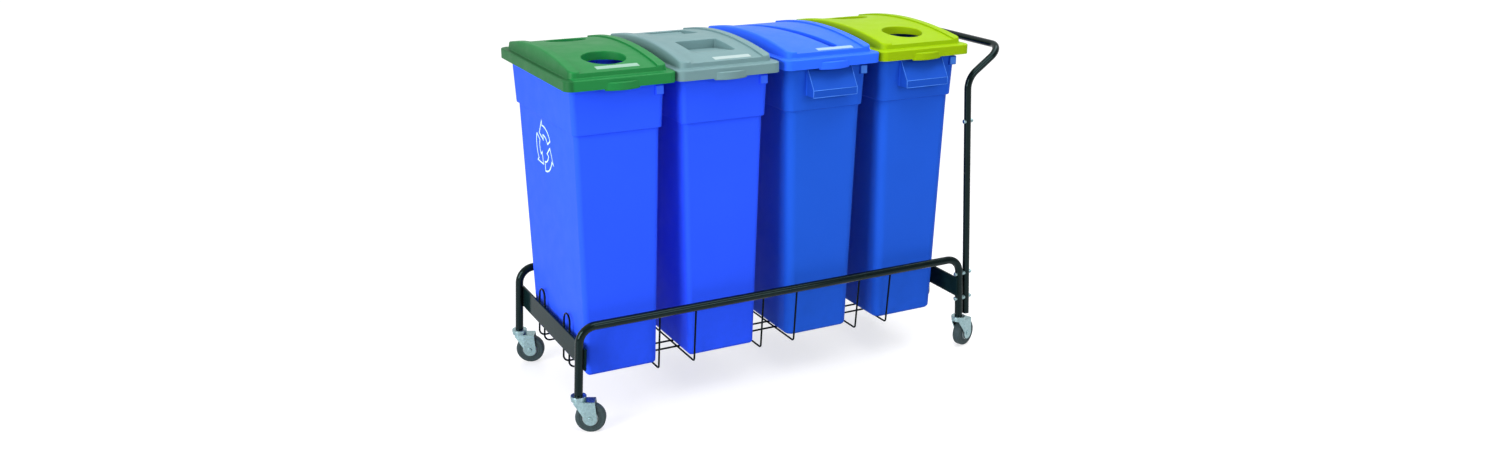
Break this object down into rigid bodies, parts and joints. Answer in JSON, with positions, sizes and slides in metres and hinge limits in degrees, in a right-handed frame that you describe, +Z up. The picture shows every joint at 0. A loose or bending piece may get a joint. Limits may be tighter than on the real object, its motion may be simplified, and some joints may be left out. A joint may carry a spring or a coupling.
{
  "type": "recycling trolley",
  "caption": "Push trolley with a tube frame, wire cradle and swivel casters that carries lift-out tapered bins with lift-off lids for sorted waste",
  "frame": {"origin": "on the floor, under the middle of the overall box", "axes": "X along the trolley towards the push handle, Y across it from front to rear, Z up"},
  "size_m": [1.2645, 0.5492, 0.9128],
  "materials": {
    "black_coat": "gloss powder coat",
    "zinc": "bright zinc plate",
    "bearing_steel": "ground steel",
    "nylon": "moulded nylon",
    "hub_plastic": "moulded",
    "grey_rubber": "smooth grey rubber",
    "bin_blue_bright": "satin moulded",
    "bin_blue_deep": "satin moulded",
    "lid_green": "satin moulded",
    "lid_grey": "satin moulded",
    "lid_blue": "satin moulded",
    "lid_lime": "satin moulded"
  },
  "bodies": {
    "frame": {"front_rail": "black_coat", "rear_rail": "black_coat", "left_end_bar": "black_coat", "right_end_bar": "black_coat", "cross_wire_1": "black_coat", "cross_wire_2": "black_coat", "cross_wire_3": "black_coat", "cross_wire_4": "black_coat", "cross_wire_5": "black_coat", "cross_wire_6": "black_coat", "front_long_wire": "black_coat", "rear_long_wire": "black_coat", "front_post": "black_coat", "rear_post": "black_coat", "handle_bar": "black_coat", "post_bolts": "zinc", "post_nuts": "zinc", "post_spacers": "zinc", "handle_bolts": "zinc", "handle_nuts": "zinc", "leg_sockets": "nylon", "caster_stems": "zinc"},
    "swivel_fl": {"fork_fl": "zinc", "race_balls_fl": "bearing_steel", "axle_fl": "zinc", "wheel_sleeve_fl": "bearing_steel"},
    "wheel_fl": {"wheel_hub_fl": "hub_plastic", "tyre_fl": "grey_rubber"},
    "swivel_fr": {"fork_fr": "zinc", "race_balls_fr": "bearing_steel", "axle_fr": "zinc", "wheel_sleeve_fr": "bearing_steel"},
    "wheel_fr": {"wheel_hub_fr": "hub_plastic", "tyre_fr": "grey_rubber"},
    "swivel_rl": {"fork_rl": "zinc", "race_balls_rl": "bearing_steel", "axle_rl": "zinc", "wheel_sleeve_rl": "bearing_steel"},
    "wheel_rl": {"wheel_hub_rl": "hub_plastic", "tyre_rl": "grey_rubber"},
    "swivel_rr": {"fork_rr": "zinc", "race_balls_rr": "bearing_steel", "axle_rr": "zinc", "wheel_sleeve_rr": "bearing_steel"},
    "wheel_rr": {"wheel_hub_rr": "hub_plastic", "tyre_rr": "grey_rubber"},
    "bin_1": {"bin_1": "bin_blue_bright"},
    "lid_1": {"lid_1": "lid_green"},
    "bin_2": {"bin_2": "bin_blue_bright"},
    "lid_2": {"lid_2": "lid_grey", "flap_pins": "bearing_steel"},
    "bin_3": {"bin_3": "bin_blue_deep"},
    "lid_3": {"lid_3": "lid_blue"},
    "bin_4": {"bin_4": "bin_blue_deep"},
    "lid_4": {"lid_4": "lid_lime"},
    "flap_front": {"flap_front": "lid_grey"},
    "flap_rear": {"flap_rear": "lid_grey"}
  },
  "joints": [
    {"name": "swivel_fl", "type": "hinge", "parent": "frame", "child": "swivel_fl", "pos_m": [-0.61226, -0.236, 0.085], "axis": [0, 0, 1], "continuous": true},
    {"name": "wheel_fl", "type": "hinge", "parent": "swivel_fl", "child": "wheel_fl", "pos_m": [-0.58731, -0.24871, 0.038], "axis": [0.454, 0.891, 0], "continuous": true},
    {"name": "swivel_fr", "type": "hinge", "parent": "frame", "child": "swivel_fr", "pos_m": [0.52774, -0.236, 0.085], "axis": [0, 0, 1], "continuous": true},
    {"name": "wheel_fr", "type": "hinge", "parent": "swivel_fr", "child": "wheel_fr", "pos_m": [0.55405, -0.22642, 0.038], "axis": [-0.342, 0.9397, 0], "continuous": true},
    {"name": "swivel_rl", "type": "hinge", "parent": "frame", "child": "swivel_rl", "pos_m": [-0.61226, 0.236, 0.085], "axis": [0, 0, 1], "continuous": true},
    {"name": "wheel_rl", "type": "hinge", "parent": "swivel_rl", "child": "wheel_rl", "pos_m": [-0.58731, 0.22329, 0.038], "axis": [0.454, 0.891, 0], "continuous": true},
    {"name": "swivel_rr", "type": "hinge", "parent": "frame", "child": "swivel_rr", "pos_m": [0.52774, 0.236, 0.085], "axis": [0, 0, 1], "continuous": true},
    {"name": "wheel_rr", "type": "hinge", "parent": "swivel_rr", "child": "wheel_rr", "pos_m": [0.55269, 0.24871, 0.038], "axis": [-0.454, 0.891, 0], "continuous": true},
    {"name": "bin_lift_1", "type": "slide", "parent": "frame", "child": "bin_1", "axis": [0, 0, 1], "range_m": [0, 0.3]},
    {"name": "lid_lift_1", "type": "slide", "parent": "bin_1", "child": "lid_1", "axis": [0, 0, 1], "range_m": [0, 0.15]},
    {"name": "bin_lift_2", "type": "slide", "parent": "frame", "child": "bin_2", "axis": [0, 0, 1], "range_m": [0, 0.3]},
    {"name": "lid_lift_2", "type": "slide", "parent": "bin_2", "child": "lid_2", "axis": [0, 0, 1], "range_m": [0, 0.15]},
    {"name": "bin_lift_3", "type": "slide", "parent": "frame", "child": "bin_3", "axis": [0, 0, 1], "range_m": [0, 0.3]},
    {"name": "lid_lift_3", "type": "slide", "parent": "bin_3", "child": "lid_3", "axis": [0, 0, 1], "range_m": [0, 0.15]},
    {"name": "bin_lift_4", "type": "slide", "parent": "frame", "child": "bin_4", "axis": [0, 0, 1], "range_m": [0, 0.3]},
    {"name": "lid_lift_4", "type": "slide", "parent": "bin_4", "child": "lid_4", "axis": [0, 0, 1], "range_m": [0, 0.15]},
    {"name": "flap_front", "type": "hinge", "parent": "lid_2", "child": "flap_front", "pos_m": [-0.20176, -0.157, 0.88982], "axis": [-1, 0, 0], "range_deg": [0, 60], "stiffness_Nm_per_rad": 0.05, "springref_deg": -45.84},
    {"name": "flap_rear", "type": "hinge", "parent": "lid_2", "child": "flap_rear", "pos_m": [-0.20176, 0.157, 0.88982], "axis": [1, 0, 0], "range_deg": [0, 60], "stiffness_Nm_per_rad": 0.05, "springref_deg": -45.84}
  ]
}
